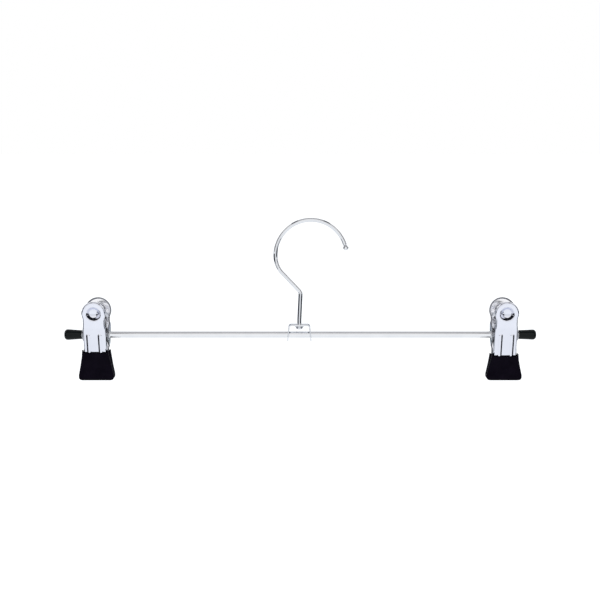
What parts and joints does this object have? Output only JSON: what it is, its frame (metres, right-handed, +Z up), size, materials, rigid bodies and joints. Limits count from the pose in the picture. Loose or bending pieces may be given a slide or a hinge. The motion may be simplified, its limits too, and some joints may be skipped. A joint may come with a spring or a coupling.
{
  "type": "clip hanger",
  "caption": "Chromed trouser and skirt hanger: a straight rod under a swivel hook, with spring clips in rubber boots that slide along it.",
  "frame": {"origin": "the seat at the inner top of the hook's loop, where the hanger rests on a rail", "axes": "+Z up, +X along the rod to the right as the picture shows it, -Y towards the viewer"},
  "size_m": [0.3604, 0.0302, 0.1243],
  "materials": {
    "chrome": "bright chrome plate on steel wire and strip",
    "plate_chrome": "bright chrome plate on stamped steel sheet",
    "spring_steel": "drawn spring wire, lightly oiled",
    "rubber": "matt moulded black rubber",
    "vinyl": "soft black vinyl with a satin sheen"
  },
  "bodies": {
    "hook": {"hook": "chrome", "hook_tip_ball": "chrome", "hook_washer": "chrome"},
    "frame": {"rod": "chrome", "bracket": "chrome", "left_end_cap": "vinyl", "right_end_cap": "vinyl"},
    "left_slider": {"left_pivot_tube": "chrome"},
    "left_clip": {"left_spring": "spring_steel"},
    "left_front_jaw": {"left_front_plate": "plate_chrome", "left_front_boot": "rubber"},
    "left_rear_jaw": {"left_rear_plate": "plate_chrome", "left_rear_boot": "rubber"},
    "right_slider": {"right_pivot_tube": "chrome"},
    "right_clip": {"right_spring": "spring_steel"},
    "right_front_jaw": {"right_front_plate": "plate_chrome", "right_front_boot": "rubber"},
    "right_rear_jaw": {"right_rear_plate": "plate_chrome", "right_rear_boot": "rubber"}
  },
  "joints": [
    {"name": "hook_swivel", "type": "hinge", "parent": "hook", "child": "frame", "pos_m": [-0.0088, 0, -0.0784], "axis": [0, 0, 1], "continuous": true},
    {"name": "left_clip_slide", "type": "slide", "parent": "frame", "child": "left_slider", "axis": [1, 0, 0], "range_m": [0, 0.1345]},
    {"name": "left_clip_swing", "type": "hinge", "parent": "left_slider", "child": "left_clip", "pos_m": [0, 0, -0.0863], "axis": [1, 0, 0], "continuous": true},
    {"name": "left_front_jaw_open", "type": "hinge", "parent": "left_clip", "child": "left_front_jaw", "pos_m": [0, 0, -0.0863], "axis": [-1, 0, 0], "range_deg": [0, 24], "stiffness_Nm_per_rad": 0.03, "springref_deg": -45.84, "deforming": ["left_spring"]},
    {"name": "left_rear_jaw_open", "type": "hinge", "parent": "left_clip", "child": "left_rear_jaw", "pos_m": [0, 0, -0.0863], "axis": [1, 0, 0], "range_deg": [0, 24], "stiffness_Nm_per_rad": 0.03, "springref_deg": -45.84},
    {"name": "right_clip_slide", "type": "slide", "parent": "frame", "child": "right_slider", "axis": [-1, 0, 0], "range_m": [0, 0.1345]},
    {"name": "right_clip_swing", "type": "hinge", "parent": "right_slider", "child": "right_clip", "pos_m": [0, 0, -0.0863], "axis": [1, 0, 0], "continuous": true},
    {"name": "right_front_jaw_open", "type": "hinge", "parent": "right_clip", "child": "right_front_jaw", "pos_m": [0, 0, -0.0863], "axis": [-1, 0, 0], "range_deg": [0, 24], "stiffness_Nm_per_rad": 0.03, "springref_deg": -45.84, "deforming": ["right_spring"]},
    {"name": "right_rear_jaw_open", "type": "hinge", "parent": "right_clip", "child": "right_rear_jaw", "pos_m": [0, 0, -0.0863], "axis": [1, 0, 0], "range_deg": [0, 24], "stiffness_Nm_per_rad": 0.03, "springref_deg": -45.84}
  ],
  "couplings": [
    {"joint": "left_rear_jaw_open", "follows": "left_front_jaw_open", "ratio": 1},
    {"joint": "right_rear_jaw_open", "follows": "right_front_jaw_open", "ratio": 1}
  ]
}
